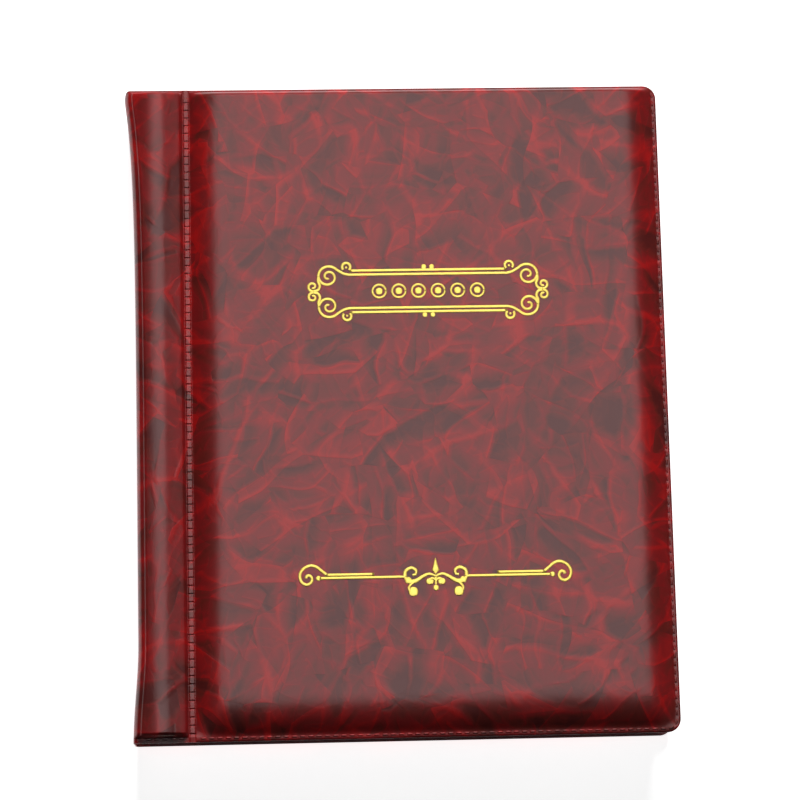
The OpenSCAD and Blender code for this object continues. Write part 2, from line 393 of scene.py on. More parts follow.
CELL_PITCH = 3.0
CELL_LENGTH = 2.65
CELL_WIDTH = 2.2
CELL_RISE = 0.24
CELL_EDGE = 0.5
BAND_END = 3.0
BAND_FADE = 0.4
BAND_CREASE_X = 1.25
BAND_CREASE_DEPTH = 0.15


def bump(distance, half, edge):
    """1 inside half, falling to 0 over edge, for rounded pads."""
    return smooth((half - np.abs(distance)) / edge + 0.5)


def band_grids():
    """The welded groove: a row of rounded pads between two thin creases."""
    x, y = grid_of(np.linspace(STRIP_X1, PANEL_X0, 17), np.linspace(-HALF_H, HALF_H, 1226))
    along = (y + HALF_H) % CELL_PITCH - CELL_PITCH / 2
    pads = bump(along, CELL_LENGTH / 2, CELL_EDGE) * bump(x - GROOVE_X, CELL_WIDTH / 2, CELL_EDGE)
    pads = pads * smooth((HALF_H - BAND_END - np.abs(y)) / BAND_FADE)
    crease = smooth(1 - 2 * np.abs(np.abs(x - GROOVE_X) - BAND_CREASE_X))
    z = WELD_Z - BAND_CREASE_DEPTH * crease + CELL_RISE * pads
    # Its two long sides stay at the weld's level, where the strip and the panel begin
    edge = np.minimum(x - STRIP_X1, PANEL_X0 - x)
    z = np.where(edge < 0.02, WELD_Z, z) + hem_lift(y)
    outer = np.stack([x, y, z], axis=-1)
    inner = shifted(np.full_like(z, LINING_TOP), outer)
    flat = np.stack([x - SPINE_X + SPINE_WRAP, y, 0 * x], axis=-1)
    return outer, inner, flat


DASH_PITCH = 3.0
DASH_LENGTH = 2.2
DASH_WIDTH = 1.0
DASH_RISE = 0.18
DASH_SINK = 0.05
DASH_BASE = 0.15
DASH_INSET = 1.35


def hem_route(x0, closed_end):
    """Middle and direction of each of the hem's dashes: the lower edge, then, at a closed end, the fore edge.
    The upper hem is too narrow to hold any."""
    reach = HALF_H - DASH_INSET
    if not closed_end:
        legs = [((x0, -reach), (STRIP_X1 - 1, -reach))]
    else:
        right = FORE_X - DASH_INSET
        legs = [
            ((x0, -reach), (FORE_X - CORNER_R, -reach)),
            ((right, CORNER_R - HALF_H), (right, HALF_H - CORNER_R)),
        ]
    places = []
    for start, end in legs:
        start, end = np.array(start), np.array(end)
        length = np.linalg.norm(end - start)
        count = int(length // DASH_PITCH)
        heading = (end - start) / length
        gap = (length - count * DASH_PITCH) / 2
        places += [(start + heading * (gap + (i + 0.5) * DASH_PITCH), heading) for i in range(count)]
    if closed_end:
        for side, turn in ((-1, 22.5), (-1, 67.5), (1, 22.5)):
            a = math.radians(turn)
            spoke = np.array([math.cos(a), side * math.sin(a)])
            centre = np.array([FORE_X - CORNER_R, side * (HALF_H - CORNER_R)])
            places.append((centre + spoke * (CORNER_R - DASH_INSET), np.array([-spoke[1], spoke[0]])))
    return places


def dashes(name, places, back):
    """Small rounded pads pressed up out of the hem."""
    u = np.linspace(-1, 1, 9)
    v = np.linspace(-1, 1, 6)
    gu, gv = grid_of(u, v)
    lift = (1 - np.abs(gu) ** 4) * (1 - gv**2)
    vertices, faces, flats = [], [], []
    for centre, heading in places:
        side = np.array([-heading[1], heading[0]])
        spot = centre + gu[..., None] * heading * DASH_LENGTH / 2 + gv[..., None] * side * DASH_WIDTH / 2
        z = WELD_Z - DASH_SINK + (DASH_RISE + DASH_SINK) * lift + hem_lift(spot[..., 1])
        base = WELD_Z - DASH_BASE + hem_lift(spot[..., 1])
        start = sum(len(part) for part in vertices)
        rows, columns = gu.shape
        top = np.dstack([spot, z]).reshape(-1, 3)
        low = np.dstack([spot, base]).reshape(-1, 3)
        vertices.append(np.concatenate([top, low]))
        faces += (sheet_faces(rows, columns, flip=back) + start).tolist()
        faces += (sheet_faces(rows, columns, start=rows * columns, flip=not back) + start).tolist()
        faces += (rim_faces(rows, columns, flip=back) + start).tolist()
        flats.append(np.concatenate([top, low]) - [SPINE_X - SPINE_WRAP, 0, 0])
    points = np.concatenate(vertices)
    places_flat = np.concatenate(flats)
    places_flat[:, 2] = 0
    if back:
        points = mirrored(points)
        places_flat[:, 0] *= -1
    return mesh_object(name, points, faces, places_flat)


# ---- Foam and lining ----

FOAM_GAP = 0.5
FOAM_STEP = 2.0
FOAM_CLEAR = 0.05
FOAM_MIN_T = 0.02
SPINE_FOAM_CLEAR = 0.03
SPINE_BOARD_CLEAR = 0.02
STRIP_FOAM_X0 = SPINE_X + ROLL_R + SPINE_PULL - 1.5
BOARD_GAP = 0.5


def strip_z(x, y):
    """Outer surface of the front strip with its rolled edge, as the foam under it follows it."""
    rise = end_rise(y, STRIP_END_SLOPE, STRIP_END_SLOPE)
    radius = HEM_ROLL_R + (ROLL_R - HEM_ROLL_R) * rise
    roll_end = SPINE_X + spine_pull(y) + radius
    top = WELD_Z + PAD_RISE * rise * strip_shoulder(roll_end)
    inside = np.clip(roll_end - x, 0, radius)
    crown = WELD_Z + PAD_RISE * rise * strip_shoulder(x)
    return np.where(inside > 0, top - radius + np.sqrt(np.maximum(radius**2 - inside**2, 0)), crown)


def cover_foam(name, x_low, x_high, surface, board, back):
    """Foam under a padded skin, over and around its board."""
    x, y = grid_of(
        np.linspace(x_low, x_high, max(8, round((x_high - x_low) / FOAM_STEP))),
        np.linspace(HEM_W + FOAM_GAP - HALF_H, HALF_H - HEM_W - FOAM_GAP, 160),
    )
    low, high = box_mm(board)
    floor_z = LINING_TOP + FOAM_MIN_T
    board_top = floor_z + high[2] - low[2]
    over_x = (x > low[0] - BOARD_GAP) & (x < high[0] + BOARD_GAP)
    over_y = (y > low[1] - BOARD_GAP) & (y < high[1] + BOARD_GAP)
    top = np.maximum(surface(x, y) - SKIN_T - FOAM_CLEAR, floor_z + FOAM_MIN_T)
    base = np.minimum(np.where(over_x & over_y, board_top, floor_z), top - FOAM_MIN_T)
    outer = np.stack([x, y, top], axis=-1)
    return shell(name, outer, shifted(base, outer), outer * [1, 1, 0], back=back)


def spine_foam_piece():
    """Foam between the spine's skin and its board, thinnest where the spine is drawn in."""
    reach = SPINE_FOAM_HIGH[1]
    low_z = TOP_Z - SPINE_FOAM_HIGH[2]
    z, y = grid_of(np.linspace(low_z, SPINE_FOAM_HIGH[2], 14), np.linspace(-reach, reach, 120))
    outer = np.stack([SPINE_X + spine_pull(y) + SKIN_T + SPINE_FOAM_CLEAR, y, z], axis=-1)
    inner = outer.copy()
    inner[..., 0] = SPINE_BOARD_X - SPINE_BOARD_CLEAR
    return shell("spine_foam_pad", outer, inner, outer)


LINING_EDGE_X = SPINE_X + 5.3
SEAM_INSET = 1.6
SEAM_SPREAD = 0.7
SEAM_DEPTH = 0.14
GROOVE_SEAM_SPREAD = 0.9


def cover_lining(side, back):
    """The smooth sheet inside a cover, in one piece over the strip and the panel."""
    strip_columns = spans((LINING_EDGE_X, STRIP_X1, 16), (STRIP_X1, PANEL_X0, 10))[:-1]
    x, y = cover_grid(np.concatenate([strip_columns, panel_columns(LINING_STEP)]), cover_rows(LINING_STEP))
    # The heat weld presses a shallow channel into the lining, all round and at the groove
    seam = np.exp(-(((hem_distance(x, y) - SEAM_INSET) / SEAM_SPREAD) ** 2))
    seam = seam + np.exp(-(((x - GROOVE_X) / GROOVE_SEAM_SPREAD) ** 2))
    outer = np.stack([x, y, np.full_like(x, LINING_TOP)], axis=-1)
    inner = shifted(FACE_Z + SEAM_DEPTH * np.clip(seam, 0, 1), outer)
    flat = np.stack([x - SPINE_X, y, 0 * x], axis=-1)
    return shell(f"{side}_cover_lining", outer, inner, flat, back=back)


# ---- Coin leaves ----

LEAF_COUNT = 10
LEAF_CORNER = 3.0
POCKET_ROWS = 6
POCKET_COLUMNS = 5
WELD_W = 1.2
SLOT_H = 1.6
# Width over which a pocket rises from its side welds and its lower weld, and how far it bulges
POCKET_SIDE = 3.5
POCKET_FOOT = 3.0
POCKET_DOME = 0.22
# The back film starts FLEX_CLEAR before its flex line, and has reached its own height after FLEX_RUN
FLEX_CLEAR = 1.8
FLEX_RUN = 2.4
# Clearances that keep the pocket film and the weld beads just off the back film
POCKET_CLEAR = 0.03
BEAD_CLEAR = 0.02


def leaf_places(name):
    """The leaf's flex line, its middle height, and the boxes of its films."""
    flex_x, _, mid_z = joint_mm(f"{name}_hinge")
    return flex_x, mid_z, box_mm(f"{name}_back_film"), box_mm(f"{name}_pocket_film")


def leaf_back_film(name):
    """The leaf's back film, which comes out of the clamped margin and carries the pockets."""
    flex_x, mid_z, (low, high), _ = leaf_places(name)
    corner_x = high[0] - LEAF_CORNER
    low_y, high_y = low[1] + LEAF_CORNER, high[1] - LEAF_CORNER
    x, y = grid_of(
        spans((flex_x - FLEX_CLEAR, flex_x + 2, 14), (flex_x + 2, corner_x, 60), (corner_x, high[0], 6)),
        spans((low[1], low_y, 4), (low_y, high_y, 80), (high_y, high[1], 4)),
    )
    y = rounded_rows(x, y, high[0], high[1], LEAF_CORNER, 2 * LEAF_CORNER)
    film_mid = (low[2] + high[2]) / 2 - mid_z
    half_t = (high[2] - low[2]) / 2
    mid = mid_z + film_mid * smooth((x - flex_x + FLEX_CLEAR) / FLEX_RUN)
    outer = np.stack([x, y, mid + half_t], axis=-1)
    return shell(f"{name}_back", outer, shifted(mid - half_t, outer), np.stack([x, y, 0 * x], axis=-1))


def pocket_rows(name):
    """(low y, high y) of each row's strip of film."""
    _, _, (low, high), _ = leaf_places(name)
    row_h = (high[1] - low[1]) / POCKET_ROWS
    return [(low[1] + row * row_h, low[1] + (row + 1) * row_h - SLOT_H) for row in range(POCKET_ROWS)]


def weld_lines(low_x, high_x):
    """x of the middle of the welds beside the pockets."""
    return np.linspace(low_x + WELD_W / 2, high_x - WELD_W / 2, POCKET_COLUMNS + 1)


def leaf_pockets(name):
    """Six strips of film, pressed down at their welds and standing open between them."""
    _, _, (_, back_high), (low, high) = leaf_places(name)
    film_t = high[2] - low[2]
    x_line = np.linspace(low[0], high[0], 101)
    lines = weld_lines(low[0], high[0])
    parts = []
    for y0, y1 in pocket_rows(name):
        x, y = grid_of(x_line, np.linspace(y0, y1, 15))
        nearest = np.min(np.abs(x[..., None] - lines), axis=-1)
        from_sides = smooth((nearest - WELD_W / 2) / POCKET_SIDE)
        from_foot = smooth((y - y0 - WELD_W) / POCKET_FOOT)
        mouth = smooth((y - y0) / (y1 - y0))
        lift = (low[2] - back_high[2]) * from_sides * from_foot
        lift = lift + POCKET_DOME * from_sides * from_foot * (1 - 0.5 * mouth)
        z = back_high[2] + POCKET_CLEAR + lift
        outer = np.stack([x, y, z + film_t], axis=-1)
        parts.append((outer, shifted(z, outer)))
    return joined_shells(f"{name}_pockets", parts)


def leaf_weld_beads(name):
    """Ribbed weld beads, one under each row and one beside each pocket."""
    _, _, (_, back_high), (low, high) = leaf_places(name)
    base = back_high[2] + BEAD_CLEAR
    parts = []
    for y0, y1 in pocket_rows(name):
        parts.append(ribbed_bead((low[0], y0 + WELD_W / 2), (high[0], y0 + WELD_W / 2), base))
        for x in weld_lines(low[0], high[0]):
            parts.append(ribbed_bead((x, y0 + WELD_W), (x, y1), base))
    return joined_shells(f"{name}_beads", parts)


BEAD_STEP = 0.75
BEAD_RISE = 0.36
# Height of the bead's two sides, and of its ribs, as shares of its rise
BEAD_SHOULDER = 0.35
RIB_SHARE = 0.3


def ribbed_bead(start, end, base):
    """A low ribbed bar between two points."""
    start, end = np.array(start), np.array(end)
    length = np.linalg.norm(end - start)
    heading = (end - start) / length
    side = np.array([-heading[1], heading[0]])
    count = 2 * round(length / BEAD_STEP / 2)
    offsets = [-WELD_W / 2, -WELD_W / 4, WELD_W / 4, WELD_W / 2]
    along, across = np.meshgrid(np.linspace(0, length, count + 1), offsets)
    spot = start + along[..., None] * heading + across[..., None] * side
    rib = 0.5 + 0.5 * np.cos(math.pi * np.arange(count + 1))
    profile = np.array([BEAD_SHOULDER, 1.0, 1.0, BEAD_SHOULDER])[:, None]
    outer = np.dstack([spot, base + BEAD_RISE * profile * (1 - RIB_SHARE + RIB_SHARE * rib)[None, :]])
    return outer, shifted(np.full_like(along, base), outer)


def joined_shells(name, parts):
    """One piece from several pairs of outer and inner grids, each closed by its own rim."""
    points, faces = [], []
    start = 0
    for outer, inner in parts:
        rows, columns = outer.shape[:2]
        points += [outer.reshape(-1, 3), inner.reshape(-1, 3)]
        faces.append(sheet_faces(rows, columns, start))
        faces.append(sheet_faces(rows, columns, start + rows * columns, flip=True))
        faces.append(rim_faces(rows, columns) + start)
        start += 2 * rows * columns
    points = np.concatenate(points)
    return mesh_object(name, points, np.concatenate(faces), points * [1, 1, 0])


# ---- Gold foil ----

FOIL_RISE = 0.1
FOIL_SINK = 0.05
FOIL_LINE = 1.12
# Where the foil lies on the cover, and how much wider or narrower it is pressed than drawn
TITLE_DROP = 0.9
TITLE_WIDEN = 1.02
ORNAMENT_Y = -63.8
ORNAMENT_WIDEN = 0.985
# Middle of the large scroll in a corner of the title's frame, from the frame's own middle
SCROLL = (36.6, 5.7)
ROUNDEL_PITCH = 7.2
ROUNDEL_R = 2.45
COIN_R = 1.35


def spiral(centre, start_r, end_r, start_angle, sweep, count=36):
    """Points turning round a centre, with angles in degrees and the radius changing evenly."""
    share = np.linspace(0, 1, count)
    radius = start_r + (end_r - start_r) * share
    angle = np.radians(start_angle + sweep * share)
    return np.stack([centre[0] + radius * np.cos(angle), centre[1] + radius * np.sin(angle)], axis=-1)


def straight(start, end):
    """A straight line, with a point about every millimetre."""
    return np.linspace(start, end, round(math.dist(start, end)) + 1)


def through(*points, count=12):
    """A smooth curve through a few points."""
    p = np.array([points[0], *points, points[-1]], float)
    t = np.linspace(0, 1, count, endpoint=False)[:, None]
    runs = []
    for a, b, c, d in zip(p, p[1:], p[2:], p[3:]):
        runs.append(b + 0.5 * t * (c - a + t * (2 * a - 5 * b + 4 * c - d + t * (3 * (b - c) + d - a))))
    return np.concatenate([*runs, p[-1:]])


def stroke(path, width, end_width=None):
    """A rounded ribbon of foil along a path, as rows of points across it. Each point's third value is its
    share of the foil's rise."""
    path = path[np.concatenate([[True], np.linalg.norm(np.diff(path, axis=0), axis=1) > 1e-6])]
    heading = np.gradient(path, axis=0)
    heading /= np.linalg.norm(heading, axis=1, keepdims=True)
    side = np.stack([-heading[:, 1], heading[:, 0]], axis=-1)
    last_width = width if end_width is None else end_width
    half = np.linspace(width, last_width, len(path)) / 2
    across = np.array([-1, -0.72, 0, 0.72, 1])
    lift = np.array([0.1, 0.85, 1.0, 0.85, 0.1])
    spot = path[None] + across[:, None, None] * side[None] * half[None, :, None]
    return np.dstack([spot, np.repeat(lift[:, None], len(path), axis=1)])


def blob(centre, radius, stretch=1.0):
    """A small domed round of foil."""
    u, v = grid_of(np.linspace(-1, 1, 11), np.linspace(-1, 1, 11))
    x = u * np.sqrt(1 - v**2 / 2)
    y = v * np.sqrt(1 - u**2 / 2)
    lift = 0.1 + 0.9 * (1 - np.clip(np.hypot(x, y), 0, 1) ** 4)
    return np.dstack([centre[0] + radius * x, centre[1] + stretch * radius * y, lift])


def flipped(part, x=1, y=1):
    """A part mirrored left to right or top to bottom, with its points turned to keep its face up."""
    turned = part * [x, y, 1]
    return turned[:, ::-1] if x * y < 0 else turned


def foil_piece(name, parts, centre, widen=1.0):
    """Parts drawn about a centre, laid on the cover's surface in one piece of foil."""
    laid = []
    for part in parts:
        x, y = part[..., 0] * widen + centre[0], part[..., 1] + centre[1]
        surface = panel_z(x, y)
        outer = np.dstack([x, y, surface + FOIL_RISE * part[..., 2]])
        laid.append((outer, shifted(surface - FOIL_SINK, outer)))
    return joined_shells(name, laid)


def cartouche_corner():
    """One quarter of the title's frame, up and to the right: scroll, small scroll, curl and ball."""
    small = (42.3, 2.05)
    return [
        stroke(spiral(SCROLL, 3.55, 0.5, 0, -470, 60), FOIL_LINE, 0.9),
        stroke(through((40.15, 5.7), (40.3, 4.0), (39.7, 2.3), (40.4, 0.7), (42.0, 0.25)), FOIL_LINE),
        stroke(spiral(small, 1.85, 0.5, -100, 400, 44), FOIL_LINE, 0.9),
        stroke(spiral((29.9, 9.4), 1.5, 1.5, 235, -280, 30), FOIL_LINE),
        blob((29.9, 9.2), 0.5),
        blob((1.45, 9.15), 1.0),
    ]


def cartouche_bars():
    """The upper double bar of the title's frame, whose lower line runs on into both scrolls."""
    right = np.concatenate(
        [
            straight((0.0, 6.38), (28.0, 6.38)),
            through((29.0, 6.38), (31.0, 6.9), (33.0, 8.1)),
            spiral(SCROLL, 4.15, 3.55, 140, -140),
        ]
    )
    lower = np.concatenate([right[:0:-1] * [-1, 1], right])
    return [stroke(lower, FOIL_LINE), stroke(straight((-28.8, 7.94), (28.8, 7.94)), FOIL_LINE)]


def ornament_half():
    """Right half of the lower ornament: curl, double line, scroll, ball and trefoil lobe."""
    curl = through(
        (40.6, 1.0),
        (42.6, 2.6),
        (44.4, 4.0),
        (46.7, 4.5),
        (49.2, 3.4),
        (50.6, 1.2),
        (50.1, -1.3),
        (48.3, -2.5),
        (46.6, -1.8),
        (46.1, -0.3),
        (46.9, 0.8),
        (48.0, 0.7),
        (48.3, -0.1),
        count=6,
    )
    scroll = through((8.7, 0.4), (7.5, 0.7), (7.4, 2.2), (9.2, 3.0), (11.1, 2.0), (11.5, 0.2), (10.9, -1.2))
    arm = through((10.9, -1.0), (9.8, -1.9), (8.3, -2.0), (6.8, -1.4), (4.5, 0.0), (2.4, 0.7), (0.0, -0.1))
    return [
        stroke(straight((10.8, -0.2), (43.5, -0.2)), 1.1),
        blob((43.7, -0.2), 1.0),
        stroke(straight((22.9, 0.98), (41.0, 0.98)), 1.1),
        stroke(curl, 1.2),
        stroke(scroll, 1.0, 1.6),
        stroke(arm, 2.2, 0.9),
        blob((10.3, -1.5), 1.3),
        stroke(through((8.2, -2.2), (9.3, -3.0), (10.1, -4.2), (9.9, -5.4)), 1.1),
        blob((8.5, -5.7), 1.85),
        blob((2.2, -2.0), 1.5, 0.85),
        stroke(through((2.6, -1.4), (1.2, -0.9), (0.0, -1.6)), 1.0),
    ]


def ornament_middle():
    """Spear and drop on the ornament's axis."""
    return [
        stroke(through((0.0, 6.6), (0.0, 4.2), (0.0, 2.1)), 0.25, 3.0),
        stroke(through((0.0, 2.1), (0.0, 1.4), (0.0, 0.6)), 3.0, 0.3),
        blob((0.0, -4.4), 1.1),
        stroke(through((0.0, -0.4), (0.0, -2.0), (0.0, -3.4)), 1.4, 0.8),
    ]


def emblem_parts():
    """A plain row of six coin roundels."""
    parts = []
    for place in np.arange(-2.5, 3.0):
        centre = (place * ROUNDEL_PITCH, 0.0)
        parts.append(stroke(spiral(centre, ROUNDEL_R, ROUNDEL_R, 0, 360, 41), 0.9))
        parts.append(blob(centre, COIN_R))
    return parts


# ---- Shader helpers ----


def new_material(name):
    material = bpy.data.materials.new(name)
    material.use_nodes = True
    material.node_tree.nodes.clear()
    return material, material.node_tree


def add(tree, kind, inputs, **settings):
    """Adds a node. Each input is a number, a colour or another node's output."""
    node = tree.nodes.new("ShaderNode" + kind)
    for key, value in settings.items():
        setattr(node, key, value)
    for key, value in inputs.items():
        if isinstance(value, bpy.types.NodeSocket):
            tree.links.new(value, node.inputs[key])
        else:
            node.inputs[key].default_value = value
    return node


def calc(tree, operation, *values):
    return add(tree, "Math", dict(enumerate(values)), operation=operation).outputs[0]


def vector_calc(tree, operation, *values):
    return add(tree, "VectorMath", dict(enumerate(values)), operation=operation).outputs["Vector"]


def ranged(tree, value, low, high, to_low=0.0, to_high=1.0, kind="LINEAR"):
    """value carried from low..high to to_low..to_high, held at the ends."""
    inputs = {"Value": value, "From Min": low, "From Max": high, "To Min": to_low, "To Max": to_high}
    return add(tree, "MapRange", inputs, interpolation_type=kind, clamp=True).outputs["Result"]


def ramp(tree, value, stops):
    """A colour ramp through (position, colour) stops."""
    node = add(tree, "ValToRGB", {"Fac": value})
    elements = node.color_ramp.elements
    while len(elements) < len(stops):
        elements.new(0.5)
    for element, (position, colour) in zip(elements, stops):
        element.position = position
        element.color = (*colour, 1)
    return node.outputs["Color"]


def output_surface(tree, shader):
    add(tree, "OutputMaterial", {"Surface": shader.outputs[0]})


def sheet_place(tree):
    """Place on the unrolled sheet, in metres, which stays put when the cover bends."""
    return add(tree, "Attribute", {}, attribute_name="flat").outputs["Vector"]


# ---- Marbled PVC ----


def crumple(tree, place, size, stretch, sway_share, shift):
    """Long leaf-shaped facets about size metres wide, turned another way in each region, as in crumpled
    foil. Returns each facet's slope and level, about -1 to 1, the distance to its edge, and fine streaks
    along it."""
    moved = vector_calc(tree, "ADD", place, (shift, 1.7 * shift, 0))
    noise = add(tree, "TexNoise", {"Vector": moved, "Scale": 0.4 / size, "Detail": 1.0})
    sway = vector_calc(tree, "SUBTRACT", noise.outputs["Color"], (0.5, 0.5, 0.5))
    warped = vector_calc(tree, "MULTIPLY_ADD", sway, (sway_share * size,) * 3, moved)
    region = add(tree, "TexVoronoi", {"Vector": warped, "Scale": 0.45 / size}, voronoi_dimensions="2D")
    lot = add(tree, "SeparateColor", {"Color": region.outputs["Color"]})
    angle = calc(tree, "MULTIPLY", lot.outputs[0], 2 * math.pi)
    turned = add(tree, "VectorRotate", {"Vector": warped, "Angle": angle}, rotation_type="Z_AXIS")
    long = vector_calc(tree, "MULTIPLY", turned.outputs[0], (1, stretch, 1))
    cells = {"Vector": long, "Scale": 1 / size}
    facet = add(tree, "TexVoronoi", cells, voronoi_dimensions="2D")
    crease = add(tree, "TexVoronoi", cells, voronoi_dimensions="2D", feature="DISTANCE_TO_EDGE")
    local = vector_calc(tree, "SUBTRACT", long, facet.outputs["Position"])
    lot = add(tree, "SeparateColor", {"Color": facet.outputs["Color"]})
    way = add(tree, "SeparateXYZ", {"Vector": local}).outputs[0]
    side = ranged(tree, lot.outputs[0], 0.49, 0.51, -1.0, 1.0)
    lean = calc(tree, "MULTIPLY", way, side)
    lean = calc(tree, "MULTIPLY", lean, 2.2 / size)
    level = calc(tree, "MULTIPLY_ADD", lot.outputs[2], 2.0, -1.0)
    hair = vector_calc(tree, "MULTIPLY", turned.outputs[0], (1, 0.14, 1))
    streak = add(tree, "TexNoise", {"Vector": hair, "Scale": 4.0 / size, "Detail": 1.0}).outputs["Fac"]
    return lean, level, crease.outputs["Distance"], streak


DARK_RED = (0.115, 0.014, 0.013)
DEEP_RED = (0.185, 0.018, 0.014)
PVC_RED = (0.265, 0.014, 0.015)
VEIN_RED = (0.52, 0.012, 0.012)
# The tone that the layers below start from, and how far they sway, as a share of a facet's size
MIDDLE_TONE = 0.55
SWAY = 1.1
# Facet size in metres, stretch, shift, ridge width, and the shares of ridges, hollows, streaks and levels
MARBLE_LAYERS = (
    (0.0175, 0.50, 0.0, 0.12, 0.30, 0.38, 0.24, 0.05),
    (0.0095, 0.40, 0.31, 0.15, 0.24, 0.34, 0.16, 0.04),
    (0.0050, 0.45, 0.77, 0.16, 0.10, 0.12, 0.08, 0.02),
)
PVC_ROUGHNESS = 0.3


def marbling(tree, place):
    """Colour of the marbled PVC, and a height for its slight relief."""
    tone = MIDDLE_TONE
    for size, stretch, shift, ridge_w, ridge_share, dark_share, streak_share, level_share in MARBLE_LAYERS:
        lean, level, edge, streak = crumple(tree, place, size, stretch, SWAY, shift)
        patch = add(tree, "TexNoise", {"Vector": place, "Scale": 0.9 / size, "Detail": 1.0}).outputs["Fac"]
        strength = ranged(tree, patch, 0.34, 0.56, 0.15, 1.0)
        ridge = ranged(tree, edge, 0.0, ridge_w, 1.0, 0.0, "SMOOTHERSTEP")
        ridge = calc(tree, "MULTIPLY", ridge, ranged(tree, lean, -0.7, 0.7, 0.25, 1.0))
        ridge = calc(tree, "MULTIPLY", ridge, strength)
        tone = calc(tree, "MULTIPLY_ADD", ridge, ridge_share, tone)
        hollow = ranged(tree, edge, 0.02, 0.13, 0.0, 1.0, "SMOOTHSTEP")
        hollow = calc(tree, "MULTIPLY", hollow, ranged(tree, lean, 0.1, -0.8, 0.0, 1.0))
        hollow = calc(tree, "MULTIPLY", hollow, ranged(tree, level, -0.3, 0.8, 0.08, 1.0))
        tone = calc(tree, "MULTIPLY_ADD", hollow, -dark_share, tone)
        streak = calc(tree, "ADD", streak, -0.5)
        tone = calc(tree, "MULTIPLY_ADD", streak, streak_share, tone)
        tone = calc(tree, "MULTIPLY_ADD", level, level_share, tone)
        tone = calc(tree, "MULTIPLY_ADD", lean, 1.2 * level_share, tone)
    stops = [(0.12, DARK_RED), (0.34, DEEP_RED), (0.52, PVC_RED), (0.92, VEIN_RED)]
    return ramp(tree, tone, stops), tone


def marbled_pvc():
    material, tree = new_material("marbled_pvc")
    colour, tone = marbling(tree, sheet_place(tree))
    relief = add(tree, "Bump", {"Height": tone, "Strength": 0.25, "Distance": 0.0004})
    inputs = {"Base Color": colour, "Roughness": PVC_ROUGHNESS, "Normal": relief.outputs["Normal"]}
    output_surface(tree, add(tree, "BsdfPrincipled", inputs))
    return material


def grained(name, colours, roughness, scale, relief=0.1, metallic=0.0, place=None, alpha=1.0):
    """A plain material whose tone wanders between two colours, with a fine grain. Its pattern lies on the
    unrolled sheet where place is "flat", and on the piece itself otherwise."""
    material, tree = new_material(name)
    if place == "flat":
        where = sheet_place(tree)
    else:
        where = add(tree, "TexCoord", {}).outputs["Object"]
    noise = add(tree, "TexNoise", {"Vector": where, "Scale": scale, "Detail": 4.0})
    colour = ramp(tree, noise.outputs["Fac"], [(0.3, colours[0]), (0.7, colours[1])])
    bump = add(tree, "Bump", {"Height": noise.outputs["Fac"], "Strength": relief, "Distance": 0.0003})
    inputs = {"Base Color": colour, "Normal": bump.outputs["Normal"]}
    inputs.update({"Roughness": roughness, "Metallic": metallic, "Alpha": alpha})
    output_surface(tree, add(tree, "BsdfPrincipled", inputs))
    return material


def set_material(piece, material):
    piece.data.materials.clear()
    piece.data.materials.append(material)


# ---- Plain materials ----

FINISHES = {
    "foam": grained("foam", ((0.78, 0.72, 0.58), (0.86, 0.8, 0.66)), 0.9, 900.0),
    "board": grained("greyboard", ((0.42, 0.36, 0.28), (0.52, 0.46, 0.37)), 0.85, 400.0),
    "lining": grained(
        "pvc_lining",
        ((0.09, 0.011, 0.013), (0.17, 0.022, 0.022)),
        0.42,
        420.0,
        relief=0.5,
        place="flat",
    ),
    "flange": grained("flange", ((0.035, 0.035, 0.038), (0.05, 0.05, 0.054)), 0.4, 700.0),
    "posts": grained("post_metal", ((0.62, 0.62, 0.6), (0.7, 0.7, 0.69)), 0.28, 300.0, metallic=1.0),
    "screws": grained("screw_metal", ((0.62, 0.62, 0.6), (0.7, 0.7, 0.69)), 0.25, 300.0, metallic=1.0),
    "spacer_strips": grained("spacer", ((0.7, 0.72, 0.72), (0.8, 0.82, 0.82)), 0.4, 500.0),
    "leaf_margins": grained("leaf_margin", ((0.75, 0.8, 0.83), (0.82, 0.86, 0.88)), 0.3, 500.0),
    "back_film": grained(
        "leaf_back_film",
        ((0.86, 0.89, 0.91), (0.92, 0.94, 0.95)),
        0.3,
        60.0,
        place="flat",
        alpha=0.62,
    ),
    "pocket_film": grained(
        "leaf_pocket_film",
        ((0.84, 0.88, 0.9), (0.92, 0.94, 0.95)),
        0.12,
        60.0,
        alpha=0.32,
    ),
    "welds": grained("leaf_weld", ((0.6, 0.67, 0.7), (0.7, 0.76, 0.8)), 0.35, 500.0),
    "foil": grained("gold_foil", ((0.96, 0.71, 0.12), (1.0, 0.79, 0.17)), 0.32, 500.0, metallic=0.6),
}

# ---- Build the covers ----

PVC = marbled_pvc()


def point(x, y, z, back):
    """A point in metres, for the front cover or its mirror image."""
    place = mirrored([x, y, z]) if back else np.array([x, y, z], float)
    return Vector(place * MM)


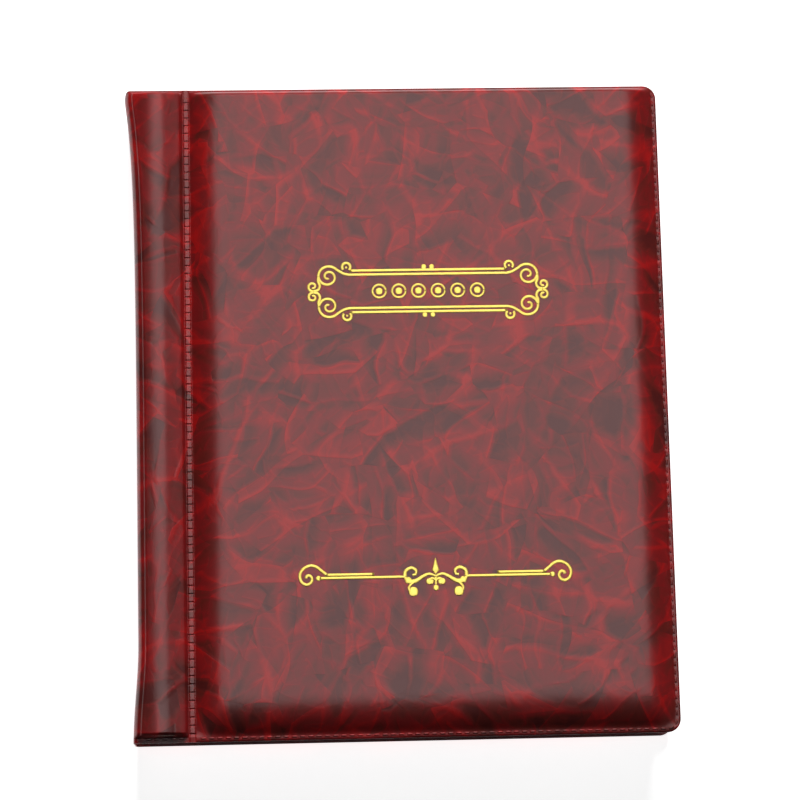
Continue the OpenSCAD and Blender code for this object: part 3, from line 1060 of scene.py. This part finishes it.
for side in ("front", "back"):
    back = side == "back"
    panel_skin = shell(f"{side}_panel_cover", *panel_grids(), back=back)
    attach(panel_skin, f"{side}_panel")
    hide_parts(f"{side}_panel_skin")

    strip_skin = shell(f"{side}_strip_cover", *strip_grids(), back=back)
    point(SPINE_X + 0.6, 0, TOP_Z - 2.9, back)
    point(SPINE_X + 3.0, 0, TOP_Z - 0.5, back)
    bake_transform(strip_skin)
    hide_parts(f"{side}_strip_skin", "spine_skin")

    band = shell(f"{side}_weld_band", *band_grids(), back=back)
    point(STRIP_X1, 0, WELD_Z, back)
    point(PANEL_X0, 0, WELD_Z, back)
    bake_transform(band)
    hem = dashes(f"{side}_panel_hem", hem_route(PANEL_X0 + 1, True), back)
    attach(hem, f"{side}_panel")
    strip_hem = dashes(f"{side}_strip_hem", hem_route(SPINE_X + 4, False), back)
    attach(strip_hem, f"{side}_strip")
    for piece in (panel_skin, strip_skin, band, hem, strip_hem):
        set_material(piece, PVC)

    panel_foam = cover_foam(
        f"{side}_panel_pad",
        PANEL_X0 + FOAM_GAP,
        FORE_X - HEM_W - FOAM_GAP,
        panel_z,
        "front_panel_board",
        back,
    )
    strip_foam = cover_foam(
        f"{side}_strip_pad",
        STRIP_FOAM_X0,
        STRIP_X1 - FOAM_GAP,
        strip_z,
        "front_strip_board",
        back,
    )
    for piece, body in ((panel_foam, f"{side}_panel"), (strip_foam, f"{side}_strip")):
        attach(piece, body)
        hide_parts(f"{body}_foam")
        set_material(piece, FINISHES["foam"])

    lining = cover_lining(side, back)
    point(STRIP_X1, 0, WELD_Z, back)
    point(PANEL_X0, 0, WELD_Z, back)
    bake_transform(lining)
    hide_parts(f"{side}_strip_lining", f"{side}_panel_lining")
    set_material(lining, FINISHES["lining"])

spine_pad = spine_foam_piece()
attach(spine_pad, "binding")
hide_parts("spine_foam")
set_material(spine_pad, FINISHES["foam"])

# ---- Gold foil on the front cover ----

title_frame = foil_piece(
    "title_frame",
    [flipped(part, x, y) for part in cartouche_corner() for x in (1, -1) for y in (1, -1)]
    + [flipped(part, 1, y) for part in cartouche_bars() for y in (1, -1)],
    (FOIL_X, TITLE_Y - TITLE_DROP),
    TITLE_WIDEN,
)
title_emblem = foil_piece("title_emblem", emblem_parts(), (FOIL_X, TITLE_Y - TITLE_DROP), TITLE_WIDEN)
ornament = foil_piece(
    "lower_ornament",
    [flipped(part, x) for part in ornament_half() for x in (1, -1)] + ornament_middle(),
    (FOIL_X, ORNAMENT_Y),
    ORNAMENT_WIDEN,
)
for piece, node in (
    (title_frame, "title_frame_foil"),
    (title_emblem, "title_emblem_foil"),
    (ornament, "lower_ornament_foil"),
):
    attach(piece, "front_panel")
    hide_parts(node)
    set_material(piece, FINISHES["foil"])

# ---- Coin leaves ----

for number in range(1, LEAF_COUNT + 1):
    leaf = f"leaf_{number:02d}"
    back_film = leaf_back_film(leaf)
    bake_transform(back_film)
    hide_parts(f"{leaf}_back_film")
    pockets = leaf_pockets(leaf)
    beads = leaf_weld_beads(leaf)
    for piece, node, slot in ((pockets, "pocket_film", "leaf_film"), (beads, "welds", "leaf_weld")):
        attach(piece, leaf)
        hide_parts(f"{leaf}_{node}")
    set_material(back_film, FINISHES["back_film"])
    set_material(pockets, FINISHES["pocket_film"])
    set_material(beads, FINISHES["welds"])

# ---- Materials for the CAD's own pieces that still show ----

for name, node in frame["nodes"].items():
    finish = next((key for key in FINISHES if name.endswith(key)), None)
    if finish is not None:
        set_material(node, FINISHES[finish])

# ---- Floor, lights and camera ----

IMAGE_SIDE = 800
FOCAL_PX = 2800
AIM = np.array([-0.16, 2.56, 26.0])
DISTANCE = 1042.0
TILT = math.radians(10.4)
AZIMUTH = math.radians(-16.6)
ROLL = math.radians(-1.4)
SENSOR = 36.0
CLIP_END_M = 20.0
FLOOR_SIZE_M = 6.0
FLOOR_GLOW = 0.9
WORLD_STRENGTH = 1.0


def add_camera():
    """The camera stands DISTANCE from AIM, tilted from straight above, turned round and rolled."""
    back = Vector(
        (
            math.sin(TILT) * math.sin(AZIMUTH),
            -math.sin(TILT) * math.cos(AZIMUTH),
            math.cos(TILT),
        )
    )
    right = Vector((0, 1, 0)).cross(back).normalized()
    up = back.cross(right)
    turned_right = right * math.cos(ROLL) + up * math.sin(ROLL)
    turned_up = up * math.cos(ROLL) - right * math.sin(ROLL)
    data = bpy.data.cameras.new("camera")
    data.sensor_width = SENSOR
    data.lens = FOCAL_PX * SENSOR / IMAGE_SIDE
    data.clip_end = CLIP_END_M
    camera = bpy.data.objects.new("camera", data)
    bpy.context.scene.collection.objects.link(camera)
    turn = Matrix((turned_right, turned_up, back)).transposed().to_4x4()
    camera.matrix_world = Matrix.Translation(Vector(AIM * MM) + back * DISTANCE * MM) @ turn
    bpy.context.scene.camera = camera


def add_floor():
    material, tree = new_material("studio_floor")
    noise = add(tree, "TexNoise", {"Scale": 3.0, "Detail": 2.0})
    colour = ramp(tree, noise.outputs["Fac"], [(0.3, (0.86, 0.86, 0.86)), (0.7, (0.88, 0.88, 0.88))])
    glow = {"Base Color": colour, "Roughness": 0.9, "Specular IOR Level": 0.0}
    glow.update({"Emission Color": (1, 1, 1, 1), "Emission Strength": FLOOR_GLOW})
    output_surface(tree, add(tree, "BsdfPrincipled", glow))
    half = FLOOR_SIZE_M / 2 / MM
    corners = [(-half, -half, 0), (half, -half, 0), (half, half, 0), (-half, half, 0)]
    floor = mesh_object("floor", corners, [(0, 1, 2, 3)])
    set_material(floor, material)


def add_panel(name, place, target, size, power, glossy=True, diffuse=True):
    """An area light at a place in metres, turned towards a target. Its size is (width, height)."""
    data = bpy.data.lights.new(name, "AREA")
    data.shape = "RECTANGLE"
    data.size, data.size_y = size
    data.energy = power
    light = bpy.data.objects.new(name, data)
    bpy.context.scene.collection.objects.link(light)
    light.location = place
    light.rotation_mode = "QUATERNION"
    light.rotation_quaternion = (Vector(target) - Vector(place)).to_track_quat("-Z", "Y")
    light.visible_glossy = glossy
    light.visible_diffuse = diffuse


def add_world():
    """A white surround that only the camera sees. It is set on the scene before its visibility is."""
    world = bpy.data.worlds.new("studio")
    bpy.context.scene.world = world
    world.use_nodes = True
    background = world.node_tree.nodes["Background"]
    background.inputs["Color"].default_value = (1, 1, 1, 1)
    background.inputs["Strength"].default_value = WORLD_STRENGTH
    world.cycles_visibility.glossy = False
    world.cycles_visibility.diffuse = False


add_camera()
add_floor()
add_world()
# The broad haze on the covers is this panel's reflection, so it stands in the camera's mirror direction
add_panel(
    "haze_panel",
    place=(0.35, 4.0, 5.1),
    target=(0.35, 4.0, 0),
    size=(3.1, 9.2),
    power=224.0,
    diffuse=False,
)
add_panel(
    "key_panel",
    place=(0.3, 3.3, 1.8),
    target=(0, 0, 0),
    size=(1.2, 1.2),
    power=152.0,
    glossy=False,
)

bpy.context.scene.view_settings.view_transform = "Standard"
